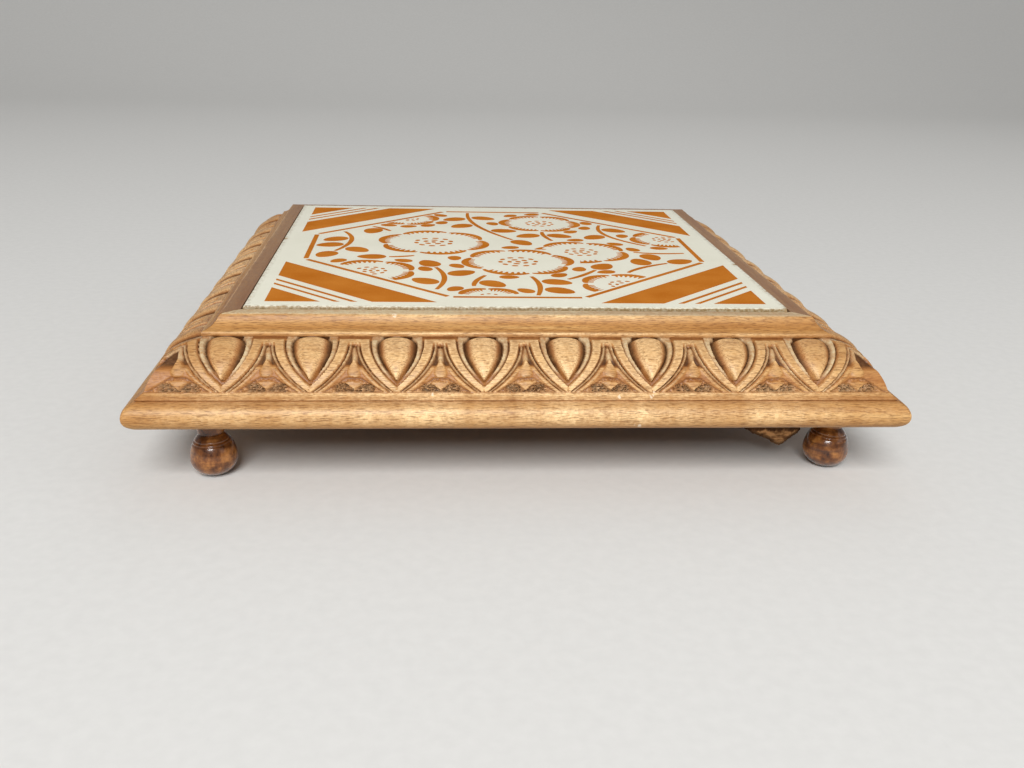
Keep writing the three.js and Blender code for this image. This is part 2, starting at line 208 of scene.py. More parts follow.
# Sprays: start, bend and end of the stem, and its leaves as shares along it, left or right by the sign
SPRAYS = (
    ((-10, 62), (-12, 38), (4, 13), (0.16, -0.2, 0.42, -0.44, 0.68, -0.7, 1)),
    ((39, 40.5), (33, 22), (50, 5), (0.16, -0.2, -0.48, 1)),
    ((-45.5, 33.5), (-42, 31.5), (-39, 26), (-0.25, 0.95)),
    ((-55, 24), (-48, 10), (-56, -7), (-0.3, 0.5, -0.66, 0.8, 1)),
    ((-30, -13), (-34, -15), (-38, -15), (1,)),
    ((-23, -56), (-18, -42), (-23, -29), (0.2, 0.55, -0.6, 1)),
    ((-8, -39), (-12, -46), (-12, -52), (0.4,)),
    ((6, -40), (9, -50), (6, -62), (0.22, -0.26, 0.62)),
    ((17, -43), (22, -39), (27, -31), (1,)),
    ((37, -34), (41, -27), (52, -21), (0.2, -0.35, 0.62, 1)),
    ((44, -5), (50, -8), (61, -6), (-0.22, 0.45, -0.65)),
    ((16, 27), (15, 21), (18, 12), (0.3, -0.3)),
)

# Stems and leaves. Small leaves round the blossoms are a share of the size of the others. A leaf's body is
# filled with circles: share along the leaf, and radius as a share of its width.
STEM_WIDTH = 1.7
STEM_STEPS = 16
STEM_CIRCLES = 12
LEAF_LENGTH = 9.4
LEAF_WIDTH = 6.9
LEAF_TURN = 62
LEAF_POINTS = 24
SMALL_LEAF = 0.66
SMALL_LEAF_ROOM = 3.2
SMALL_LEAF_PLACES = 24
SMALL_LEAF_LEAN = 0.35
LEAF_BODY = ((0.12, 0.27), (0.35, 0.5), (0.62, 0.48), (0.9, 0.22))

# Feet: flattened ball, neck and collar, incised lines as height and depth, and where each stands and leans
BALL_RADIUS = 6.35
BALL_DROP = 5.0
BALL_RISE = 8.2
BALL_WEAR = 0.25
NECK_RADIUS = 3.6
COLLAR_RADIUS = 4.3
COLLAR_TOP = 18.7
FOOT_LINES = ((4.6, 0.12), (5.3, 0.26))
FOOT_LINE_HALF = 0.3
FOOT_ROWS = 160
FOOT_STEPS = 56
PEG_RADIUS = 3.0
PEG_LENGTH = 8.0
PEG_CHAMFER = 0.6
PEG_STEPS = 24
FEET = {
    "front_left": (-83.4, -84.2, 3),
    "front_right": (88.5, -80.6, 5),
    "rear_left": (-84.2, 84.2, 2),
    "rear_right": (84.2, 84.2, 3),
}

# Backing card, its torn strip as drops at places along the front with the radius and angle of its bend, and
# where the painted shadow of the rail on the strip's face ends
CARD_HALF = 80.05
CARD_THICK = 0.8
ROOM_UNDER_FRAME = 0.1
CARD_LEVEL = UNDERSIDE - ROOM_UNDER_FRAME - CARD_THICK / 2
STRIP_PLACES = (48.5, 59.4, 66.7, 70.3, 74.3, 78.2, 80.05)
STRIP_DROPS = (0.3, 5.1, 8.4, 10.2, 11.8, 8.9, 7.7)
STRIP_BEND = 2.2
STRIP_TURN = 1.42
SHADOW_FOOT = 7.7
CARD_SEED = 3
STRIP_SEED = 4

# Tacks: domed head as shares of its radius and heights above its bottom, shank radii, and length of the point
TACK_HEAD = ((0, 0), (0.5, 0.06), (0.82, 0.22), (0.97, 0.45), (0.97, 0.6))
TACK_SHANK = (0.6, 0.55)
TACK_POINT = 1.5
TACK_STEPS = 28

# Studio, in metres: floor and sweep, then lights as name, place, size and power in watts
FLOOR_SIZE = 4
SWEEP_HEIGHT = 2.4
SWEEP_BEND = 1.0
LIGHTS = (
    ("key_light", (-0.26, -1.61, 1.25), 0.87, 46),
    ("fill_light", (0.9, -0.5, 0.6), 0.8, 1.2),
    ("back_light", (0.2, 0.9, 0.9), 0.9, 1.2),
)
LIGHT_AIM = (0, 0, 0.03)
WORLD_STRENGTH = 0.25


# Modelling helpers

def start_piece():
    """Leaves nothing selected, so that the next operator acts on the new piece alone."""
    bpy.ops.object.select_all(action="DESELECT")


def pick(*pieces):
    """Selects these pieces alone and makes the first one active."""
    start_piece()
    for piece in pieces:
        piece.select_set(True)
    bpy.context.view_layer.objects.active = pieces[0]


def add_object(name, data):
    piece = bpy.data.objects.new(name, data)
    bpy.context.scene.collection.objects.link(piece)
    return piece


def add_grid(columns, rows, size):
    start_piece()
    bpy.ops.mesh.primitive_grid_add(x_subdivisions=columns, y_subdivisions=rows, size=size)
    return bpy.context.object


def place_in_mesh(piece):
    """Moves the object's place, turn and scale into its mesh."""
    bpy.context.view_layer.objects.active = piece
    bpy.ops.object.transform_apply(location=True, rotation=True, scale=True)


def edit(piece, select="SELECT"):
    bpy.context.view_layer.objects.active = piece
    bpy.ops.object.mode_set(mode="EDIT")
    bpy.ops.mesh.select_all(action=select)


def leave_edit():
    bpy.ops.object.mode_set(mode="OBJECT")


def select_edges(piece, wanted):
    """Selects the edges whose two end points the test accepts, and stays in edit mode."""
    edit(piece, "DESELECT")
    bpy.ops.mesh.select_mode(type="EDGE")
    leave_edit()
    points = [v.co for v in piece.data.vertices]
    for edge in piece.data.edges:
        edge.select = wanted(points[edge.vertices[0]], points[edge.vertices[1]])
    bpy.ops.object.mode_set(mode="EDIT")


def close_shell(piece):
    """Merges doubles, fills open rims and turns the faces outwards."""
    edit(piece)
    bpy.ops.mesh.remove_doubles(threshold=MERGE_REACH)
    bpy.ops.mesh.select_mode(type="VERT")
    bpy.ops.mesh.select_all(action="DESELECT")
    bpy.ops.mesh.select_non_manifold()
    bpy.ops.mesh.fill_holes(sides=0)
    bpy.ops.mesh.select_all(action="SELECT")
    bpy.ops.mesh.normals_make_consistent(inside=False)
    leave_edit()


def smooth(piece, degrees):
    pick(piece)
    bpy.ops.object.shade_smooth_by_angle(angle=math.radians(degrees))


def mesh_points(piece):
    points = np.empty(len(piece.data.vertices) * 3)
    piece.data.vertices.foreach_get("co", points)
    return points.reshape(-1, 3)


def set_points(piece, points):
    piece.data.vertices.foreach_set("co", np.asarray(points, float).ravel())
    piece.data.update()


def set_attribute(piece, name, values):
    """Stores a number or a vector for each point of the mesh."""
    values = np.asarray(values, float)
    vector = values.ndim == 2
    attribute = piece.data.attributes.new(name, "FLOAT_VECTOR" if vector else "FLOAT", "POINT")
    attribute.data.foreach_set("vector" if vector else "value", values.ravel())


def dress(piece, name, material, slot, *nodes):
    """Names a finished piece, gives it its material, and ties it to the part."""
    piece.name = name
    piece.data.name = name
    piece.data.materials.clear()
    piece.data.materials.append(material)
    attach(piece, "root")
    if nodes:
        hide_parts(*nodes)
    return piece


def turned(profile, steps):
    """A lathe-turned piece about Z, from (radius, height) points in millimetres."""
    mesh = bpy.data.meshes.new("turned")
    points = [(radius * MM, 0, height * MM) for radius, height in profile]
    mesh.from_pydata(points, [(k, k + 1) for k in range(len(points) - 1)], [])
    piece = add_object("turned", mesh)
    pick(piece)
    edit(piece)
    bpy.ops.mesh.spin(steps=steps, angle=2 * math.pi, center=(0, 0, 0), axis=(0, 0, 1))
    leave_edit()
    close_shell(piece)
    return piece


def cut_level(piece, height, keep_above):
    """Cuts a piece flat at a height and caps the cut."""
    edit(piece)
    bpy.ops.mesh.bisect(
        plane_co=(0, 0, height * MM), plane_no=(0, 0, 1), use_fill=True, threshold=CUT_REACH,
        clear_inner=keep_above, clear_outer=not keep_above)
    bpy.ops.mesh.select_all(action="SELECT")
    bpy.ops.mesh.normals_make_consistent(inside=False)
    leave_edit()


# Material helpers

def srgb(red, green, blue):
    """A screen colour, 0 to 255, as the shader's linear colour."""
    def linear(value):
        value /= 255
        return value / 12.92 if value <= 0.04045 else ((value + 0.055) / 1.055) ** 2.4
    return (linear(red), linear(green), linear(blue), 1)


class Finish:
    """A material under construction, with short calls for the nodes that it uses."""

    def __init__(self, name, **sockets):
        self.material = bpy.data.materials.new(name)
        self.material.use_nodes = True
        self.tree = self.material.node_tree
        self.shader = self.tree.nodes["Principled BSDF"]
        self.set(**sockets)

    def set(self, **sockets):
        """Feeds inputs of the shader, named with _ for each space, and gives the material."""
        for socket, value in sockets.items():
            self.feed(self.shader.inputs[socket.replace("_", " ")], value)
        return self.material

    def feed(self, socket, value):
        if isinstance(value, bpy.types.NodeSocket):
            self.tree.links.new(value, socket)
        else:
            socket.default_value = value

    def add(self, kind, inputs=None, **settings):
        node = self.tree.nodes.new(kind)
        for name, value in settings.items():
            setattr(node, name, value)
        for name, value in (inputs or {}).items():
            self.feed(node.inputs[name], value)
        return node

    def stored(self, name, kind="Fac"):
        return self.add("ShaderNodeAttribute", attribute_name=name).outputs[kind]

    def noise(self, scale, detail=3, rough=0.5, at=None):
        """Noise over the object's own place or another vector. Three scales stretch it along the axes."""
        at = at or self.add("ShaderNodeTexCoord").outputs["Object"]
        if isinstance(scale, tuple):
            at = self.add("ShaderNodeMapping", {"Vector": at, "Scale": scale}).outputs["Vector"]
            scale = 1
        inputs = {"Vector": at, "Scale": scale, "Detail": detail, "Roughness": rough}
        return self.add("ShaderNodeTexNoise", inputs).outputs["Fac"]

    def ramp(self, factor, *stops):
        node = self.add("ShaderNodeValToRGB", {"Fac": factor})
        elements = node.color_ramp.elements
        while len(elements) < len(stops):
            elements.new(0.5)
        for element, (position, colour) in zip(elements, stops):
            element.position = position
            element.color = colour if isinstance(colour, tuple) else (colour, colour, colour, 1)
        return node.outputs["Color"]

    def mix(self, factor, first, second):
        node = self.add("ShaderNodeMix", data_type="RGBA")
        self.feed(node.inputs[0], factor)
        self.feed(node.inputs[6], first)
        self.feed(node.inputs[7], second)
        return node.outputs[2]

    def times(self, first, second):
        node = self.add("ShaderNodeMath", operation="MULTIPLY", use_clamp=True)
        self.feed(node.inputs[0], first)
        self.feed(node.inputs[1], second)
        return node.outputs[0]

    def bump(self, height, strength, distance, under=None):
        inputs = {"Height": height, "Strength": strength, "Distance": distance * MM}
        if under:
            inputs["Normal"] = under
        return self.add("ShaderNodeBump", inputs).outputs["Normal"]


# Materials

def carved_wood():
    """Golden stained hardwood: grain along each rail, dark flecks, stained and dusty hollows with painted
    shade in their corners, and worn edges, paler in the middle of each rail as a painted pool of light.
    """
    wood = Finish("carved_wood", Specular_IOR_Level=0.25)
    grain = wood.stored("grain", "Vector")
    streaks = wood.noise((16, 420, 420), 5, 0.6, grain)
    tone = wood.noise((10, 45, 45), 2, at=grain)
    flecks = wood.noise((430, 5200, 5200), 2, 0.6, grain)
    grime = wood.noise(1100, 4, 0.65, grain)
    base = wood.ramp(
        streaks, (0.28, srgb(144, 93, 44)), (0.5, srgb(179, 129, 73)), (0.72, srgb(198, 155, 98)))
    base = wood.mix(wood.ramp(tone, (0.38, 0.0), (0.7, 0.5)), base, srgb(154, 101, 50))
    wear_and_light_pool = wood.times(wood.stored("wear_and_light_pool"), wood.ramp(grime, (0.3, 0.4), (0.62, 1.0)))
    base = wood.mix(wear_and_light_pool, base, srgb(241, 204, 151))
    base = wood.mix(wood.ramp(flecks, (0.5, 0.0), (0.62, 0.65)), base, srgb(106, 64, 29))
    # The stored darkening holds staining in the carving and painted shade in its corners, on the eggs and on
    # the side and rear rails.
    stain_and_shade = wood.times(wood.stored("stain_and_shade"), wood.ramp(grime, (0.25, 1.0), (0.8, 0.78)))
    base = wood.mix(stain_and_shade, base, wood.ramp(stain_and_shade, (0.3, srgb(146, 80, 36)), (0.85, srgb(60, 31, 14))))
    dust = wood.times(wood.stored("dust"), wood.ramp(grime, (0.34, 0.3), (0.58, 1.0)))
    dust = wood.times(dust, wood.ramp(streaks, (0.36, 0.55), (0.58, 1.0)))
    base = wood.mix(dust, base, srgb(206, 189, 153))
    chips = wood.times(wood.stored("chip"), wood.ramp(grime, (0.4, 0.0), (0.55, 1.0)))
    base = wood.mix(wood.ramp(chips, (0.15, 0.0), (0.4, 0.75)), base, srgb(232, 214, 188))
    rough = wood.ramp(grime, (0.3, 0.32), (0.7, 0.52))
    normal = wood.bump(flecks, 0.25, 0.05)
    normal = wood.bump(streaks, 0.2, 0.05, normal)
    normal = wood.bump(grime, 0.25, 0.05, normal)
    return wood.set(Base_Color=base, Roughness=rough, Normal=normal)


def foot_varnish():
    """Dark turned wood under thick old varnish, mottled red-brown and amber."""
    varnish = Finish("foot_varnish", Specular_IOR_Level=0.15, Coat_Weight=1.0, Coat_Roughness=0.14)
    mottle = varnish.noise(300, 4, 0.6)
    rings = varnish.noise((60, 60, 1100))
    base = varnish.ramp(
        mottle, (0.32, srgb(54, 25, 11)), (0.5, srgb(116, 68, 30)), (0.68, srgb(172, 114, 56)))
    base = varnish.mix(varnish.ramp(rings, (0.5, 0.0), (0.72, 0.6)), base, srgb(44, 22, 12))
    rough = varnish.ramp(mottle, (0.3, 0.25), (0.7, 0.45))
    normal = varnish.bump(mottle, 0.35, 0.12)
    return varnish.set(Base_Color=base, Roughness=rough, Normal=normal)


def ivory_glaze():
    """Ivory glaze with faint mottling, fine pits, grime at the rim and bare clay in the chips."""
    glaze = Finish("ivory_glaze", Specular_IOR_Level=0.2)
    cloud = glaze.noise(45, 3)
    pits = glaze.noise(2400, 2)
    base = glaze.ramp(cloud, (0.3, srgb(232, 229, 208)), (0.7, srgb(239, 236, 217)))
    base = glaze.mix(glaze.ramp(pits, (0.72, 0.0), (0.78, 0.4)), base, srgb(176, 158, 124))
    dirt = glaze.ramp(glaze.noise(1200, 4), (0.42, 0.0), (0.66, 0.8))
    base = glaze.mix(glaze.times(glaze.stored("rim"), dirt), base, srgb(140, 116, 80))
    grubby = glaze.times(glaze.stored("edge"), glaze.ramp(dirt, (0.0, 0.8), (0.5, 1.0)))
    base = glaze.mix(grubby, base, srgb(134, 112, 78))
    base = glaze.mix(glaze.stored("chip"), base, srgb(170, 142, 104))
    gloss = glaze.ramp(cloud, (0.3, 0.12), (0.7, 0.2))
    rough = glaze.mix(glaze.stored("chip"), gloss, (0.85, 0.85, 0.85, 1))
    normal = glaze.bump(cloud, 0.12, 0.3)
    normal = glaze.bump(pits, 0.1, 0.03, normal)
    return glaze.set(Base_Color=base, Roughness=rough, Normal=normal)


def stencil_brown():
    """Sprayed stencil colour under the glaze: cloudy, with a fine spatter."""
    brown = Finish("stencil_brown", Specular_IOR_Level=0.0)
    cloud = brown.noise(90, 3)
    spatter = brown.noise(1900, 2)
    base = brown.ramp(cloud, (0.3, srgb(180, 104, 32)), (0.7, srgb(193, 119, 45)))
    base = brown.mix(brown.ramp(spatter, (0.6, 0.0), (0.74, 0.4)), base, srgb(205, 137, 64))
    rough = brown.ramp(cloud, (0.3, 0.14), (0.7, 0.22))
    normal = brown.bump(spatter, 0.1, 0.03)
    return brown.set(Base_Color=base, Roughness=rough, Normal=normal)


def brown_card():
    """Coarse brown backing card, fibrous, paler where it is torn open, dark at its edges, and with a painted
    shadow of the rail on the upper face of its strip.
    """
    card = Finish("brown_card", Roughness=0.9, Specular_IOR_Level=0.2)
    fibres = card.noise((400, 1500, 1500), 4, 0.65)
    blotch = card.noise(130, 3)
    base = card.ramp(blotch, (0.3, srgb(84, 52, 28)), (0.7, srgb(126, 82, 46)))
    base = card.mix(card.ramp(fibres, (0.45, 0.0), (0.75, 0.5)), base, srgb(184, 138, 92))
    torn = card.times(card.stored("torn"), card.ramp(fibres, (0.36, 0.1), (0.58, 1.0)))
    base = card.mix(torn, base, srgb(212, 160, 106))
    base = card.mix(card.stored("edge"), base, srgb(44, 28, 16))
    return card.set(Base_Color=base, Normal=card.bump(fibres, 0.6, 0.15))


def board_plywood():
    ply = Finish("board_plywood", Roughness=0.75)
    grain = ply.noise((20, 320, 700), 5, 0.6)
    layers = ply.noise((4, 4, 800), 1)
    base = ply.ramp(grain, (0.3, srgb(176, 134, 86)), (0.7, srgb(212, 176, 126)))
    base = ply.mix(ply.ramp(layers, (0.45, 0.0), (0.6, 0.45)), base, srgb(140, 98, 58))
    return ply.set(Base_Color=base, Normal=ply.bump(grain, 0.3, 0.08))


def bedding_mortar():
    mortar = Finish("bedding_mortar", Roughness=0.95)
    sand = mortar.noise(1600, 3, 0.7)
    base = mortar.ramp(sand, (0.3, srgb(170, 160, 142)), (0.7, srgb(214, 206, 190)))
    return mortar.set(Base_Color=base, Normal=mortar.bump(sand, 0.5, 0.1))


def old_steel(name, bright, rust):
    """Drawn steel with a thin bloom of rust."""
    steel = Finish(name, Metallic=0.9)
    bloom = steel.noise(900, 4, 0.6)
    base = steel.ramp(bloom, (0.42, srgb(*bright)), (0.62, srgb(*rust)))
    rough = steel.ramp(bloom, (0.4, 0.32), (0.65, 0.75))
    return steel.set(Base_Color=base, Roughness=rough, Normal=steel.bump(bloom, 0.3, 0.05))


def studio_paper():
    paper = Finish("studio_paper", Roughness=0.9, Specular_IOR_Level=0.1)
    weave = paper.noise(300)
    base = paper.ramp(weave, (0.3, srgb(214, 213, 210)), (0.7, srgb(218, 217, 214)))
    return paper.set(Base_Color=base, Normal=paper.bump(weave, 0.05, 0.1))


# Carved rails

def straight(start, end, count):
    share = np.linspace(0, 1, count, endpoint=False)[:, None]
    return np.array(start) + share * (np.array(end) - np.array(start))


def bowed(start, end, rise, count):
    """Points on an arc that bows out by rise, or hollows in where rise is negative."""
    start, end = np.array(start), np.array(end)
    chord = end - start
    span = np.linalg.norm(chord)
    out = np.array((-chord[1], chord[0])) / span
    radius = (span ** 2 / 4 + rise ** 2) / (2 * rise)
    centre = (start + end) / 2 + out * (rise - radius)
    facing = math.atan2(*(out * np.sign(rise))[::-1])
    reach = math.acos(np.clip((radius - rise) / radius, -1, 1)) * np.sign(rise)
    angles = facing + np.linspace(reach, -reach, count, endpoint=False)
    return centre + abs(radius) * np.stack((np.cos(angles), np.sin(angles)), 1)


def rail_section():
    """The closed section, clockwise from the ledge: points, and how far down the frieze each one is."""
    lines = []
    for (start, rise, rows), (end, _, _) in zip(SECTION, SECTION[1:] + SECTION[:1]):
        lines.append(bowed(start, end, rise, rows) if rise else straight(start, end, rows))
    points = np.concatenate(lines)
    row = dict(zip((start for start, _, _ in SECTION), np.cumsum([0] + [len(line) for line in lines])))
    frieze = slice(row[FRIEZE_TOP], row[FRIEZE_FOOT])
    steps = np.linalg.norm(np.diff(points[frieze], axis=0), axis=1)
    down = np.full(len(points), np.nan)
    down[frieze] = np.concatenate(([0], np.cumsum(steps)))
    shown = slice(row[WALL_FOOT] + 1, row[NOSE_FOOT] - 1)
    eased = (np.roll(points, 1, 0) + 3 * points + np.roll(points, -1, 0)) / 5
    points[shown] = eased[shown]
    return points, down


def oval_half(oval, down):
    share = np.clip((down - oval["shoulder"]) / (oval["tip"] - oval["shoulder"]), 0, 1)
    return oval["half"] * (1 - share ** oval["power"])


def ease(value, low, high):
    """0 below low, 1 above high, and a smooth step between them."""
    share = np.clip((value - low) / (high - low), 0, 1)
    return share * share * (3 - 2 * share)


def band(value, low, high, soft=CUT_SOFTNESS):
    """1 between low and high, with soft edges."""
    return ease(value, low - soft, low + soft) * (1 - ease(value, high - soft, high + soft))


def within(room, soft=CUT_SOFTNESS):
    """1 where there is room left inside an edge, 0 outside it."""
    return ease(room, -soft, soft)


class Relief:
    """Height of the carving with its shares of dark staining and painted shade, and of dust, laid feature
    over feature.
    """

    def __init__(self, shape):
        self.height = np.zeros(shape)
        self.stain_and_shade = np.zeros(shape)
        self.dust = np.zeros(shape)

    def lay(self, where, height, stain_and_shade=0.0, dust=0.0):
        self.height += where * (height - self.height)
        self.stain_and_shade += where * (stain_and_shade - self.stain_and_shade)
        self.dust += where * (dust - self.dust)


def lay_dart(relief, gap, low, beyond, punched):
    """Arch between two shells: dark pit, grey spine, tongue with two legs, and a bud on punched ground."""
    rise = np.clip(ARCH_TOP + 1 - low, 0, 1)
    arch_half = np.where(rise > 0, ARCH_HALF * np.sqrt(1 - rise ** 2), PITCH)
    pit = within(low - ARCH_TOP) * within(arch_half - gap)
    relief.lay(pit, -DEPTH["pit"], stain_and_shade=0.84)
    spine = within(SPINE_HALF - gap, 0.3) * band(low, *SPINE_SPAN, 0.5)
    relief.lay(pit * spine, -DEPTH["spine"], stain_and_shade=0.15, dust=0.65)
    relief.lay(pit * ease(low, *PIT_END), -DEPTH["pit_end"], stain_and_shade=0.3)
    above = np.clip((low - TONGUE_TOP) / (TONGUE_WIDEST - TONGUE_TOP), 0, 1) ** 0.8
    below = np.sqrt(1 - np.clip((low - TONGUE_WIDEST) / (TONGUE_FOOT - TONGUE_WIDEST), 0, 1) ** 2)
    tongue_half = TONGUE_HALF * above * below
    relief.lay(within(tongue_half - gap, 0.35), -DEPTH["tongue"] * (1 + (gap / TONGUE_HALF) ** 2))
    leg_start = 2 * LINE_WIDTH + TRIM_RIDGE
    leg = band(beyond, leg_start, leg_start + LEG_WIDTH) * ease(low, *LEG_START)
    relief.lay(leg, -DEPTH["leg"])

    # The recess round the bud starts below the tongue and drops away towards the shells
    recess_top = np.maximum(TONGUE_FOOT - 0.1, 12.4 + 0.8 * gap - 0.015 * gap ** 2)
    between = within(beyond - leg_start)
    recess = within(low - recess_top) * between
    relief.lay(recess, -DEPTH["recess"] - 0.3 * punched, stain_and_shade=0.2 + 0.4 * punched)
    relief.lay(band(low, recess_top, recess_top + 0.4) * between, -DEPTH["arch"], stain_and_shade=0.7)
    across = gap / BUD_HALF
    bud_tip = BUD_TIP - 2.2 * across
    beside_bud = within(low - bud_tip, 0.3) * within(low - PUNCHED_TOP, 0.3)
    beside_bud *= within(PUNCHED_HALF - gap, 0.6)
    ground = -DEPTH["punched"] - 0.8 * punched
    relief.lay(recess * beside_bud, ground, stain_and_shade=0.45 + 0.35 * punched, dust=0.25)
    bud = within(low - BUD_TOP - 0.5 * across ** 2, 0.35) * within(bud_tip - low)
    relief.lay(bud * within(BUD_HALF - gap), -DEPTH["bud"] - 0.2 * across ** 2, stain_and_shade=0.05)


def lay_shell(relief, off, low, beyond, inner):
    """Shell round the egg: thin ridge between dark lines, flat face, and a grey ridge inside."""
    shown = ease(low, *TRIM_START)
    trim_end = LINE_WIDTH + TRIM_RIDGE
    relief.lay(shown * band(beyond, trim_end, trim_end + LINE_WIDTH), -DEPTH["line"], stain_and_shade=0.75)
    relief.lay(shown * band(beyond, LINE_WIDTH, trim_end), -DEPTH["trim"], dust=0.6)
    relief.lay(shown * band(beyond, 0, LINE_WIDTH), -DEPTH["line"], stain_and_shade=0.9)
    relief.lay(within(-beyond), -DEPTH["face"])
    hollow = within(inner - off) * within(SHELL_INNER["tip"] - low)
    relief.lay(hollow, -DEPTH["hollow"], stain_and_shade=0.85 - 0.3 * ease(low, 12, 14))
    ridge = within(inner - LINE_WIDTH - off) * (1 - ease(low, *RIDGE_END))
    relief.lay(ridge, -DEPTH["ridge"], stain_and_shade=0.05, dust=0.85)


def lay_egg(relief, off, low):
    """Domed egg in a dark groove, darker red-brown towards its edge and top, partly staining and partly
    painted shade, and worn pale at its tip.
    """
    rise = np.clip((EGG["shoulder"] - low) / (EGG["shoulder"] - EGG_TOP), 0, 1)
    egg = oval_half(EGG, low) * (1 - rise ** 3) ** (1 / 3)
    above_tip = within(EGG["tip"] + EGG_GROOVE - low)
    worn_tip = ease(low, *WORN_TIP)
    groove = within(egg + EGG_GROOVE - off) * above_tip
    relief.lay(groove, -DEPTH["groove"], stain_and_shade=1 - 0.45 * worn_tip)
    across = np.clip(off / np.maximum(egg, 0.05), 0, 1)
    dome = EGG_RISE - (EGG_RISE + 1.0) * across ** 2.7
    dome -= 0.5 * ease(low, 9, 15.5) + 0.45 * (1 - ease(low, 0.0, 1.4))
    # Painted shade on the egg's flanks and under the cove at its top, mixed with staining.
    dark = np.maximum(ease(across, 0.5, 1.0), 1 - ease(low, 0.0, 1.0))
    relief.lay(within(egg - off), dome, stain_and_shade=0.85 * dark * (1 - 0.6 * worn_tip))


def carving(along, down, draw):
    """The egg-and-dart relief of one frieze."""
    half_count = EGGS_PER_RAIL // 2
    cell = np.clip(np.floor(along / PITCH), -half_count, half_count - 1)
    which = (cell + half_count).astype(int)
    from_middle = along - (cell + 0.5) * PITCH
    off = np.abs(from_middle + draw.uniform(-STRAY_ALONG, STRAY_ALONG, EGGS_PER_RAIL)[which])
    low = down + draw.uniform(-STRAY_DOWN, STRAY_DOWN, EGGS_PER_RAIL)[which]
    gap = np.abs(np.abs(from_middle) - PITCH / 2)
    beyond = off - oval_half(SHELL_OUTER, low)

    relief = Relief(along.shape)
    lay_dart(relief, gap, low, beyond, ease(draw.random(along.shape), 0.2, 0.8))
    lay_shell(relief, off, low, beyond, oval_half(SHELL_INNER, low))
    # Painted shadow under the cove's step between the eggs, cut slightly in, partly dirt in the corner.
    relief.lay(within(COVE_SHADOW_LINE - down, 0.5) * within(off - COVE_SHADOW_START, 0.4), -DEPTH["border"], stain_and_shade=0.35)
    lay_egg(relief, off, low)
    relief.lay(band(down, BORDER, BORDER + BORDER_LINE), -DEPTH["border"], stain_and_shade=0.5)
    relief.lay(within(down - BORDER - BORDER_LINE), 0.0)
    relief.height *= draw.uniform(*STRAY_DEPTH, EGGS_PER_RAIL)[which]
    return relief


def blurred(field, passes):
    """A field on the rail's grid, averaged with its neighbours along and across."""
    for _ in range(passes):
        padded = np.pad(field, 1, mode="edge")
        field = (padded[1:-1, :-2] + 2 * padded[1:-1, 1:-1] + padded[1:-1, 2:]) / 4
        padded = np.pad(field, 1, mode="edge")
        field = (padded[:-2, 1:-1] + 2 * padded[1:-1, 1:-1] + padded[2:, 1:-1]) / 4
    return field


def wander(place, draw, longest, count=6):
    """A smooth wavering between about -1 and 1, for worn places and handwork."""
    total = np.zeros_like(place)
    for k in range(count):
        wave = longest / (1.7 ** k)
        total += np.sin(2 * math.pi * (place / wave + draw.random())) / (1.3 ** k)
    return total / 2.5


def near_edge(ring, edge, reach):
    """1 at an edge of the section, fading over its reach."""
    return np.exp(-(np.hypot(*(ring - np.array(edge)).T) / reach) ** 2)[:, None]


def outward(section):
    """Unit normals that point out of the wood, one for each point of the section."""
    tangent = np.roll(section, -1, 0) - np.roll(section, 1, 0)
    tangent /= np.linalg.norm(tangent, axis=1)[:, None]
    return np.stack((-tangent[:, 1], tangent[:, 0]), 1)


def closed_ring(values):
    return np.concatenate((values, values[:1]))


def rail_grid(rows):
    """A flat grid, the order of its points row by row, and each point's share along the half rail."""
    rail = add_grid(RAIL_STATIONS, rows, 2)
    flat = mesh_points(rail)
    order = np.lexsort((flat[:, 0], np.round(flat[:, 1] * rows)))
    return rail, order, flat[order, 0].reshape(rows + 1, -1)


def age_rail_and_paint_light(surface, ring, share, on_frieze, draw, dust_and_shade):
    """Wears edges in slow waves, rounds the mitres and dusts the lip. Paints shade on the lip and frieze of
    the side and rear rails, in the quirk and under the cove, and a pool of light in the middle of each rail.
    Returns how worn each point is, with that painted light.
    """
    lip_dust, lip_shade, frieze_shade = dust_and_shade
    along = share * ring[:, :1]
    relief = surface.height
    carved = relief[on_frieze]
    wavering = wander(along, draw, WEAR_WAVE)
    on_nose = (ring[:, 1] < QUIRK[1]) & (ring[:, 0] > NOSE_FOOT[0] - 1)
    on_top = ring[:, 1] > COVE_FOOT[1] - 0.5
    relief[on_nose] -= NOSE_WEAR * (1.1 + wavering[on_nose])
    relief[on_top] -= TOP_WEAR * (1.1 + wavering[on_top])
    from_mitre = ring[:, :1] - np.abs(along)
    relief[on_nose] -= MITRE_WEAR * np.clip(1 - from_mitre[on_nose] / MITRE_REACH, 0, 1) ** 2
    relief -= near_edge(ring, LIP_OUTER, 0.5) * (0.12 + 0.1 * wavering)
    wear_and_light_pool = np.clip(1.6 * (relief - blurred(relief, 12)), 0, 0.6)
    wear_and_light_pool[on_frieze] += 0.6 * ease(carved, -0.4, 0.15)
    for edge, strength, reach in WORN_EDGES:
        wear_and_light_pool += strength * near_edge(ring, edge, reach) * (0.75 + 0.45 * wavering)
    # Painted pool of light: each rail is most worn and palest in its middle, and darker towards its ends.
    wear_and_light_pool *= 1.15 - 0.95 * share ** 2
    on_lip = on_top & (ring[:, 0] < LIP_OUTER[0] - 0.1)
    surface.dust[on_lip] += lip_dust
    # Painted shade: the lip and frieze of the side and rear rails are darkened.
    surface.stain_and_shade[on_lip] += lip_shade
    surface.stain_and_shade[on_frieze] += frieze_shade
    # Painted shade: a soft dark band in the quirk and a dark line under the cove's step.
    surface.stain_and_shade += 0.4 * near_edge(ring, QUIRK, 1.0)
    surface.stain_and_shade += 0.35 * near_edge(ring, FRIEZE_TOP, 0.5)
    return wear_and_light_pool


